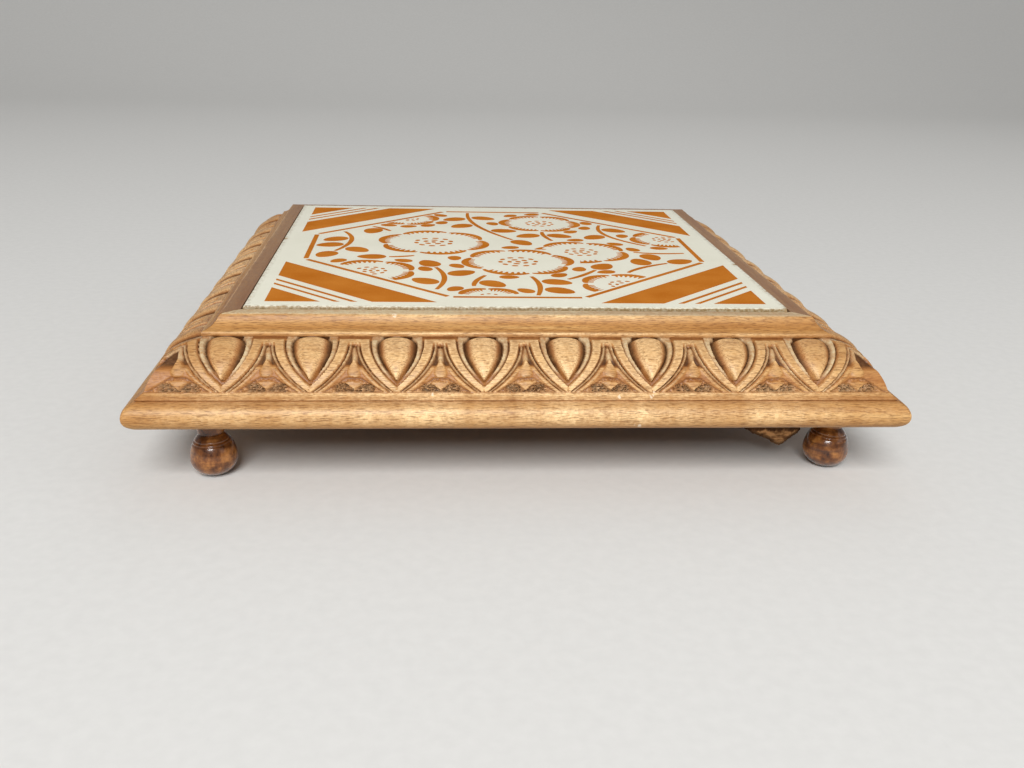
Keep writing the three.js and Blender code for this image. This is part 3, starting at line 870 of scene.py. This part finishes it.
def pale_specks(along, across, height):
    """How far each point lies inside a pale speck: 1 in its middle, 0 from its rim on."""
    speck = np.zeros_like(along)
    on_front = across > LIP_OUTER[0] - 1
    for place, level, radius in PALE_SPECKS:
        speck = np.maximum(speck, on_front * (1 - np.hypot(along - place, height - level) / radius))
    return speck


def carved_rail(turns, material):
    """One mitred rail: a grid wrapped round the section, carved, aged with painted light and shade, closed
    and turned to its side.
    """
    is_front = turns == 0
    draw = np.random.default_rng(RAIL_SEED + turns)
    section, down = rail_section()
    rail, order, share = rail_grid(len(section))
    ring, normal, ring_down = (closed_ring(values) for values in (section, outward(section), down))
    along = share * ring[:, :1]
    on_frieze = ~np.isnan(ring_down)
    frieze_along = along[on_frieze]
    carved = carving(frieze_along, np.repeat(ring_down[on_frieze, None], share.shape[1], 1), draw)
    surface = Relief(share.shape)
    surface.height[on_frieze] = carved.height
    surface.stain_and_shade[on_frieze] = CARVING_STAIN_AND_SHADE * carved.stain_and_shade
    surface.dust[on_frieze] = carved.dust * (0.85 + 0.3 * wander(frieze_along, draw, WEAR_WAVE))
    wear_and_light_pool = age_rail_and_paint_light(surface, ring, share, on_frieze, draw, FRONT_LIP_DUST_AND_SHADE if is_front else OTHER_LIP_DUST_AND_SHADE)

    across = ring[:, :1] + surface.height * normal[:, :1]
    height = ring[:, 1:] + surface.height * normal[:, 1:]
    speck = pale_specks(along, across, height) if is_front else np.zeros_like(share)
    along = share * (across - MITRE_GAP)
    points = np.stack((along, -across, height + UNDERSIDE), 2).reshape(-1, 3) * MM
    grain = points + turns * np.array(GRAIN_SHIFT)
    turn = np.array(Matrix.Rotation(turns * math.pi / 2, 3, "Z"))

    grid_order = np.argsort(order)
    set_points(rail, (points @ turn.T)[grid_order])
    set_attribute(rail, "grain", grain[grid_order])
    fields = {"stain_and_shade": surface.stain_and_shade, "dust": surface.dust, "wear_and_light_pool": wear_and_light_pool, "chip": speck}
    for field_name, field in fields.items():
        set_attribute(rail, field_name, np.clip(field, 0, 1).ravel()[grid_order])
    close_shell(rail)
    smooth(rail, 55)
    name = SIDES[turns] + "_rail"
    return dress(rail, "carved_" + name, material, "frame_wood", name)


# Tile

def glazed_tile(material):
    """Tile with eased edges, small chips along its rim and a larger one at the right front corner."""
    draw = random.Random(TILE_SEED)
    low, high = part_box("tile")
    top = high.z - PRINT_ROOM * MM
    size = (high.x - low.x, high.y - low.y, top - low.z)
    start_piece()
    bpy.ops.mesh.primitive_cube_add(size=1, location=(0, 0, (low.z + top) / 2), scale=size)
    tile = bpy.context.object
    place_in_mesh(tile)
    level = top - MERGE_REACH
    select_edges(tile, lambda a, b: a.z > level and b.z > level)
    bpy.ops.mesh.bevel(offset=TILE_EASE * MM, segments=5, profile=0.5)
    leave_edit()
    for axis, cuts in enumerate(TILE_CUTS):
        select_edges(tile, lambda a, b: abs((b - a)[axis]) > 0.1 * size[0])
        bpy.ops.mesh.subdivide(number_cuts=cuts)
        leave_edit()

    points = mesh_points(tile) / MM
    half = size[0] / 2 / MM
    nearest = half - np.abs(points[:, :2]).max(1)
    shown = (points[:, 2] > top / MM - RIM_WIDTH) & (nearest < RIM_WIDTH)
    drop = np.zeros(len(points))
    for side in range(4):
        axis = side % 2
        sign = 1 if side > 1 else -1
        near = shown & (half - sign * points[:, 1 - axis] < RIM_WIDTH)
        for _ in range(CHIPS_PER_EDGE):
            middle = draw.uniform(-half, half)
            reach = draw.uniform(*CHIP_REACH)
            depth = draw.uniform(*CHIP_DEPTH)
            dent = depth * (1 - ((points[near, axis] - middle) / reach) ** 2)
            drop[near] = np.maximum(drop[near], dent)
    corner = np.hypot(points[:, 0] - half, points[:, 1] + half)
    corner_dent = CORNER_CHIP_DEPTH * (1 - (corner / CORNER_CHIP_REACH) ** 2)
    drop = np.where(shown, np.maximum(drop, corner_dent), 0)
    drop *= ease(1.2 - nearest, 0, 1)
    points[:, 2] -= drop
    at_rim = np.abs(points[:, :2]) > half - RIM_WIDTH
    points[:, :2] -= np.sign(points[:, :2]) * at_rim * 0.7 * drop[:, None]
    set_points(tile, points * MM)
    set_attribute(tile, "chip", np.clip(drop / 0.12, 0, 1))
    set_attribute(tile, "rim", ease(1.0 - nearest, 0, 0.8))
    set_attribute(tile, "edge", ease(top / MM - points[:, 2], 0.03, 0.14))
    smooth(tile, 40)
    return dress(tile, "glazed_tile", material, "tile_glaze", "tile")


def flat_print(name, outlines, material):
    """Thin raised colour on the tile, from closed outlines in millimetres."""
    curve = bpy.data.curves.new(name, "CURVE")
    curve.dimensions = "2D"
    curve.fill_mode = "BOTH"
    curve.extrude = PRINT_THICK / 2 * MM
    for outline in outlines:
        spline = curve.splines.new("POLY")
        spline.points.add(len(outline) - 1)
        for point, (x, y) in zip(spline.points, outline):
            point.co = (x * MM, y * MM, 0, 1)
        spline.use_cyclic_u = True
    piece = add_object(name, curve)
    piece.location.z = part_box("tile")[1].z - PRINT_THICK / 2 * MM
    pick(piece)
    bpy.ops.object.convert(target="MESH")
    piece = bpy.context.object
    place_in_mesh(piece)
    close_shell(piece)
    return dress(piece, name, material, "tile_glaze")


def four_corners(outline):
    """An outline of the left front corner, mirrored into all four corners."""
    return [[(sx * x, sy * y) for x, y in outline] for sx in (1, -1) for sy in (1, -1)]


def diagonal_strip(start, end):
    """Strip across the left front corner between two lines on which |x| + |y| is the same."""
    return [(-PRINT_HALF, PRINT_HALF - start), (PRINT_HALF - start, -PRINT_HALF),
            (PRINT_HALF - end, -PRINT_HALF), (-PRINT_HALF, PRINT_HALF - end)]


def thick_line(start, end, width):
    start, end = Vector(start), Vector(end)
    side = (end - start).orthogonal().normalized() * width / 2
    return [tuple(start + side), tuple(end + side), tuple(end - side), tuple(start - side)]


def octagon_lines():
    """The eight lines of the inner frame, with small stencil gaps between them."""
    short = OCTAGON_CUT - OCTAGON_HALF
    end = short - STENCIL_BRIDGE
    step = STENCIL_BRIDGE * math.sqrt(0.5)
    lines = []
    for quarter in range(4):
        turn = Matrix.Rotation(quarter * math.pi / 2, 2)
        level = thick_line((-end, -OCTAGON_HALF), (end, -OCTAGON_HALF), OCTAGON_LINE)
        low_end = (short + step, -OCTAGON_HALF + step)
        high_end = (OCTAGON_HALF - step, -short - step)
        slope = thick_line(low_end, high_end, OCTAGON_LINE)
        lines += [[tuple(turn @ Vector(p)) for p in line] for line in (level, slope)]
    return lines


def inside_octagon(point):
    x, y = abs(point[0]), abs(point[1])
    return max(x, y) < OCTAGON_HALF - OCTAGON_ROOM[0] and x + y < OCTAGON_CUT - OCTAGON_ROOM[1]


def in_front(spot, blossoms, room):
    return any(math.hypot(spot[0] - b[0], spot[1] - b[1]) < b[2] + room for b in blossoms)


def petal_rims(number):
    """Broken outline of a blossom: thick bowed rims with teeth on their inner edge."""
    x, y, radius, turn, petals = BLOSSOMS[number]
    rims = []
    for petal in range(petals):
        runs = [[]]
        for k in range(PETAL_STEPS + 1):
            share = k / PETAL_STEPS
            angle = math.radians(turn + 360 / petals * (petal + 0.03 + 0.94 * share))
            bow = math.sin(math.pi * share)
            outer = radius * (0.87 + 0.13 * bow ** 0.7)
            thick = PETAL_RIM + PETAL_SWELL * bow ** 0.6
            tooth = PETAL_TOOTH if k % 6 in (2, 3, 4) and 4 < k < PETAL_STEPS - 3 else 0
            reaches = (outer, outer - thick - tooth)
            ends = [(x + r * math.cos(angle), y + r * math.sin(angle)) for r in reaches]
            if in_front(ends[0], BLOSSOMS[:number], 1.2) or not inside_octagon(ends[0]):
                runs.append([])
            else:
                runs[-1].append(ends)
        for run in runs:
            if len(run) > 6:
                rims.append([a for a, _ in run] + [b for _, b in reversed(run)])
    return rims


def oval_dot(x, y, angle, length, width):
    points = []
    for k in range(SEED_POINTS):
        turn = 2 * math.pi * k / SEED_POINTS
        along, across = math.cos(turn) * length / 2, math.sin(turn) * width / 2
        points.append((x + along * math.cos(angle) - across * math.sin(angle),
                       y + along * math.sin(angle) + across * math.cos(angle)))
    return points


def seed_dots(number):
    """Rings of small seeds in the middle of a blossom."""
    x, y, radius, turn, _ = BLOSSOMS[number]
    dots = []
    for reach, count in SEED_RINGS:
        for k in range(count):
            angle = math.radians(turn + 360 * k / count)
            spot = (x + reach * radius * math.cos(angle), y + reach * radius * math.sin(angle))
            if inside_octagon(spot) and not in_front(spot, BLOSSOMS[:number], 1):
                dots.append(oval_dot(*spot, angle + math.pi / 2, SEED_LENGTH * radius, SEED_WIDTH * radius))
    return dots


def leaf_outline(foot, way, size=1.0):
    """A pointed leaf from its foot in a direction."""
    side = Vector((-way.y, way.x))
    points = []
    for k in range(LEAF_POINTS):
        turn = 2 * math.pi * k / LEAF_POINTS
        share = (1 - math.cos(turn)) / 2
        across = math.copysign(abs(math.sin(turn)) ** 1.1, math.sin(turn)) * (1.12 - 0.3 * share)
        points.append(tuple(foot + size * (way * share * LEAF_LENGTH + side * across * LEAF_WIDTH / 2)))
    return points


def stem_line(start, bend, end, share):
    """A point on a bent stem, and its direction there."""
    start, bend, end = Vector(start), Vector(bend), Vector(end)
    point = start * (1 - share) ** 2 + bend * 2 * share * (1 - share) + end * share ** 2
    way = (bend - start) * (1 - share) + (end - bend) * share
    return point, way.normalized()


def stem_outline(start, bend, end):
    left, right = [], []
    for k in range(STEM_STEPS + 1):
        share = k / STEM_STEPS
        point, way = stem_line(start, bend, end, share)
        thick = STEM_WIDTH / 2 * (0.4 + 0.6 * math.sin(math.pi * (0.15 + 0.7 * share)))
        side = Vector((-way.y, way.x)) * thick
        left.append(tuple(point + side))
        right.append(tuple(point - side))
    return left + right[::-1]


def stem_body(start, bend, end):
    """Circles along a stem, as (middle, radius)."""
    shares = (k / STEM_CIRCLES for k in range(STEM_CIRCLES + 1))
    return [(stem_line(start, bend, end, share)[0], STEM_WIDTH / 2) for share in shares]


def leaf_body(foot, way, size=1.0):
    """Circles that fill a leaf, as (middle, radius)."""
    return [(foot + way * LEAF_LENGTH * size * s, LEAF_WIDTH * size * w) for s, w in LEAF_BODY]


def has_room(body, taken):
    """Whether a leaf keeps clear of what is there, of the blossoms and of the inner frame."""
    crowded = any((a - b).length < ra + rb for a, ra in body for b, rb in taken)
    return not crowded and not any(in_front(a, BLOSSOMS, ra) or not inside_octagon(a) for a, ra in body)


def flower_sprays():
    """Stems with leaves, and small leaves round the blossoms, wherever there is room for them."""
    lines = [stem_body(*spray[:3]) for spray in SPRAYS]
    stems, leaves, taken = [], [], []
    for number, (start, bend, end, places) in enumerate(SPRAYS):
        others = sum(lines[:number] + lines[number + 1:], [])
        before = len(leaves)
        for place in places:
            point, way = stem_line(start, bend, end, abs(place))
            if place == 1:
                foot = point + way * STENCIL_BRIDGE
            else:
                way = Matrix.Rotation(math.copysign(math.radians(LEAF_TURN), place), 2) @ way
                foot = point + way * (STENCIL_BRIDGE + STEM_WIDTH / 2)
            body = leaf_body(foot, way)
            if has_room(body, others + taken):
                leaves.append(leaf_outline(foot, way))
                taken += body
        if len(leaves) > before:
            stems.append(stem_outline(start, bend, end))
    taken += sum(lines, [])
    for x, y, radius, turn, _ in BLOSSOMS:
        reach = radius + SMALL_LEAF_ROOM
        for k in range(SMALL_LEAF_PLACES):
            angle = math.radians(turn + 360 / SMALL_LEAF_PLACES * k)
            foot = Vector((x + reach * math.cos(angle), y + reach * math.sin(angle)))
            lean = angle + SMALL_LEAF_LEAN
            way = Vector((-math.sin(lean), math.cos(lean)))
            body = leaf_body(foot, way, SMALL_LEAF)
            if has_room(body, taken):
                leaves.append(leaf_outline(foot, way, SMALL_LEAF))
                taken += body
    return stems, leaves


def tile_print():
    """Corner bands, inner frame and flowers, each as its own thin print."""
    brown = stencil_brown()
    corner = [(-PRINT_HALF, -PRINT_HALF), (PRINT_HALF - CORNER_START, -PRINT_HALF),
              (-PRINT_HALF, PRINT_HALF - CORNER_START)]
    stripes = [diagonal_strip(*stripe) for stripe in STRIPES]
    numbers = range(len(BLOSSOMS))
    stems, leaves = flower_sprays()
    prints = {
        "corners": four_corners(corner),
        "bands": four_corners(diagonal_strip(*BAND)),
        "stripes": sum(map(four_corners, stripes), []),
        "octagon": octagon_lines(),
        "blossoms": sum(map(petal_rims, numbers), []),
        "seeds": sum(map(seed_dots, numbers), []),
        "stems": stems,
        "leaves": leaves,
    }
    for name, outlines in prints.items():
        flat_print("print_" + name, outlines, brown)


# Feet

def foot_profile():
    """Half section of a foot, as (radius, height above the middle of the ball)."""
    profile = []
    join = math.acos(NECK_RADIUS / BALL_RADIUS)
    for k in range(FOOT_ROWS + 1):
        angle = -math.pi / 2 + k / FOOT_ROWS * (join + math.pi / 2)
        height = (BALL_DROP if angle < 0 else BALL_RISE) * math.sin(angle)
        cut = sum(depth * max(0.0, 1 - abs(height - level) / FOOT_LINE_HALF) for level, depth in FOOT_LINES)
        profile.append((max(0.0, BALL_RADIUS * math.cos(angle) - cut), height))
    shoulder = BALL_RISE * math.sin(join)
    profile += [(NECK_RADIUS - 0.35, shoulder + 0.35), (NECK_RADIUS, shoulder + 0.7)]
    return profile + [(COLLAR_RADIUS, COLLAR_TOP), (0, COLLAR_TOP)]


def turned_foot(corner, material):
    """A foot that leans, worn flat on the table and cut to the underside of the frame."""
    stand_x, stand_y, degrees = FEET[corner]
    lean = math.radians(degrees)
    place = Matrix.Translation(Vector((stand_x, stand_y, BALL_DROP - BALL_WEAR)) * MM)
    place @= Matrix.Rotation(math.copysign(lean, stand_x), 4, "Y")
    foot = turned(foot_profile(), FOOT_STEPS)
    foot.data.transform(place)
    cut_level(foot, 0, True)
    cut_level(foot, UNDERSIDE - ROOM_UNDER_FRAME, False)
    reach = (UNDERSIDE - BALL_DROP + BALL_WEAR) / math.cos(lean)
    ends = (reach - 2, reach + PEG_LENGTH)
    peg = turned([(0, ends[0]), (PEG_RADIUS, ends[0]), (PEG_RADIUS, ends[1] - PEG_CHAMFER),
                  (PEG_RADIUS - PEG_CHAMFER, ends[1]), (0, ends[1])], PEG_STEPS)
    peg.data.transform(place)
    pick(foot, peg)
    bpy.ops.object.join()
    smooth(foot, 40)
    name = corner + "_foot"
    return dress(foot, "turned_" + name, material, "foot_wood", name)


# Backing card

def card_sheet():
    """The sagging sheet that covers the underside."""
    draw = np.random.default_rng(CARD_SEED)
    sheet = add_grid(60, 60, 2 * CARD_HALF * MM)
    points = mesh_points(sheet) / MM
    rim = CARD_HALF - np.abs(points[:, :2]).max(1)
    points[:, 2] = CARD_LEVEL - 0.7 * ease(rim, 4, 40)
    points[:, 2] += 0.12 * ease(rim, 6, 30) * wander(points[:, 0] + 0.6 * points[:, 1], draw, 70)
    set_points(sheet, points * MM)
    set_attribute(sheet, "torn", np.zeros(len(points)))
    set_attribute(sheet, "edge", np.clip(1 - rim / 0.8, 0, 1) * 0.6)
    return sheet


def hanging_strip():
    """The torn front strip, bent down over a short curve beside the right front foot."""
    draw = np.random.default_rng(STRIP_SEED)
    strip = add_grid(150, 28, 2)
    points = mesh_points(strip)
    across = (points[:, 0] + 1) / 2
    x = STRIP_PLACES[0] + (STRIP_PLACES[-1] - STRIP_PLACES[0]) * across
    length = np.interp(x, STRIP_PLACES, STRIP_DROPS) + STRIP_BEND * (STRIP_TURN - 1 + math.cos(STRIP_TURN))
    length += 0.35 * wander(x, draw, 9, 7) * np.clip(length / 4, 0, 1)
    reach = (1 - points[:, 1]) / 2 * length
    angle = np.clip(reach / STRIP_BEND, 0, STRIP_TURN)
    rest = np.clip(reach - STRIP_TURN * STRIP_BEND, 0, None)
    out = STRIP_BEND * np.sin(angle) + rest * math.cos(STRIP_TURN)
    out += 0.3 * np.sin(x / 5.5) * np.clip(reach / 8, 0, 1)
    fall = STRIP_BEND * (1 - np.cos(angle)) + rest * math.sin(STRIP_TURN)
    points[:, 0] = x - 0.3 * np.abs(wander(reach, draw, 6)) * ((across > 0.98) & (reach > 1))
    points[:, 1] = 1.7 - CARD_HALF - out
    points[:, 2] = CARD_LEVEL - fall
    set_points(strip, points * MM)
    opened = fall - SHADOW_FOOT - 0.5 * wander(x, draw, 5)
    set_attribute(strip, "torn", ease(opened, -0.3, 0.2) * (1 - 0.3 * ease(opened, 0.3, 1.2)))
    dark_edge = np.maximum(ease(reach - length, -1.2, -0.6), ease(across, 0.97, 0.99))
    # Painted shadow of the rail above: the strip's face above the torn part is darkened.
    rail_shadow = 1 - ease(opened, -0.5, 0.1)
    set_attribute(strip, "edge", np.maximum(0.85 * dark_edge, 0.6 * rail_shadow))
    return strip


def torn_card(material):
    """Backing card with its torn strip, given its thickness as one piece."""
    card = card_sheet()
    pick(card, hanging_strip())
    bpy.ops.object.join()
    wall = card.modifiers.new("wall", "SOLIDIFY")
    wall.thickness = CARD_THICK * MM
    wall.offset = 0
    bpy.ops.object.modifier_apply(modifier="wall")
    close_shell(card)
    smooth(card, 50)
    return dress(card, "torn_backing_card", material, "backing_card", "backing_card")


def domed_tack(node, material):
    """Upholstery tack with a domed head against the card."""
    low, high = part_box(node)
    radius = (high.x - low.x) / 2 / MM
    top = high.z / MM
    profile = [(radius * share, low.z / MM + rise) for share, rise in TACK_HEAD]
    profile += [(TACK_SHANK[0], profile[-1][1]), (TACK_SHANK[1], top - TACK_POINT), (0, top)]
    tack = turned(profile, TACK_STEPS)
    tack.data.transform(Matrix.Translation(((low.x + high.x) / 2, (low.y + high.y) / 2, 0)))
    smooth(tack, 40)
    return dress(tack, "domed_" + node, material, "tack_steel", node)


# Build

wood = carved_wood()
for number in range(4):
    carved_rail(number, wood)

glazed_tile(ivory_glaze())
tile_print()

varnish = foot_varnish()
for corner_name in FEET:
    turned_foot(corner_name, varnish)

torn_card(brown_card())

tack_metal = old_steel("tack_steel", (96, 92, 88), (98, 62, 40))
nail_metal = old_steel("nail_steel", (150, 150, 152), (110, 80, 62))
hidden_finish = {"tile_bed": bedding_mortar(), "base_board": board_plywood()}
for node_name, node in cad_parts.items():
    if "tack" in node_name:
        domed_tack(node_name, tack_metal)
    elif "pin" in node_name or "nail" in node_name:
        hidden_finish[node_name] = nail_metal
for node_name, finish in hidden_finish.items():
    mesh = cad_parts[node_name].data
    mesh.materials.clear()
    mesh.materials.append(finish)


# Studio: pale paper sweep, soft lights and the camera of the photograph

def paper_sweep():
    start_piece()
    bpy.ops.mesh.primitive_plane_add(size=FLOOR_SIZE)
    sweep = bpy.context.object
    sweep.name = "paper_sweep"
    back = 0.95 * FLOOR_SIZE / 2
    select_edges(sweep, lambda a, b: min(a.y, b.y) > back)
    bpy.ops.mesh.extrude_region_move(TRANSFORM_OT_translate={"value": (0, 0, SWEEP_HEIGHT)})
    leave_edit()
    select_edges(sweep, lambda a, b: min(a.y, b.y) > back and max(a.z, b.z) < SWEEP_HEIGHT / 2)
    bpy.ops.mesh.bevel(offset=SWEEP_BEND, segments=16, profile=0.5)
    leave_edit()
    smooth(sweep, 60)
    sweep.data.materials.append(studio_paper())


def soft_light(name, place, size, power):
    lamp = bpy.data.lights.new(name, "AREA")
    lamp.size = size
    lamp.energy = power
    light = add_object(name, lamp)
    light.location = place
    light.rotation_euler = (Vector(LIGHT_AIM) - light.location).to_track_quat("-Z", "Y").to_euler()


def photo_camera():
    yaw, pitch, roll = (math.radians(a) for a in (CAMERA_YAW, CAMERA_PITCH, CAMERA_ROLL))
    data = bpy.data.cameras.new("photo_camera")
    data.lens = CAMERA_LENS
    data.sensor_width = SENSOR_WIDTH
    data.clip_start = 0.01
    camera = add_object("photo_camera", data)
    camera.matrix_world = (
        Matrix.Translation(Vector(CAMERA_PLACE) * MM) @ Matrix.Rotation(-yaw, 4, "Z")
        @ Matrix.Rotation(math.pi / 2 - pitch, 4, "X") @ Matrix.Rotation(roll, 4, "Z"))
    bpy.context.scene.camera = camera


paper_sweep()
for light_settings in LIGHTS:
    soft_light(*light_settings)
world = bpy.data.worlds.new("studio_world")
world.use_nodes = True
sky = world.node_tree.nodes["Background"]
sky.inputs["Color"].default_value = (1, 1, 1, 1)
sky.inputs["Strength"].default_value = WORLD_STRENGTH
bpy.context.scene.world = world
bpy.context.scene.view_settings.view_transform = "Standard"
photo_camera()
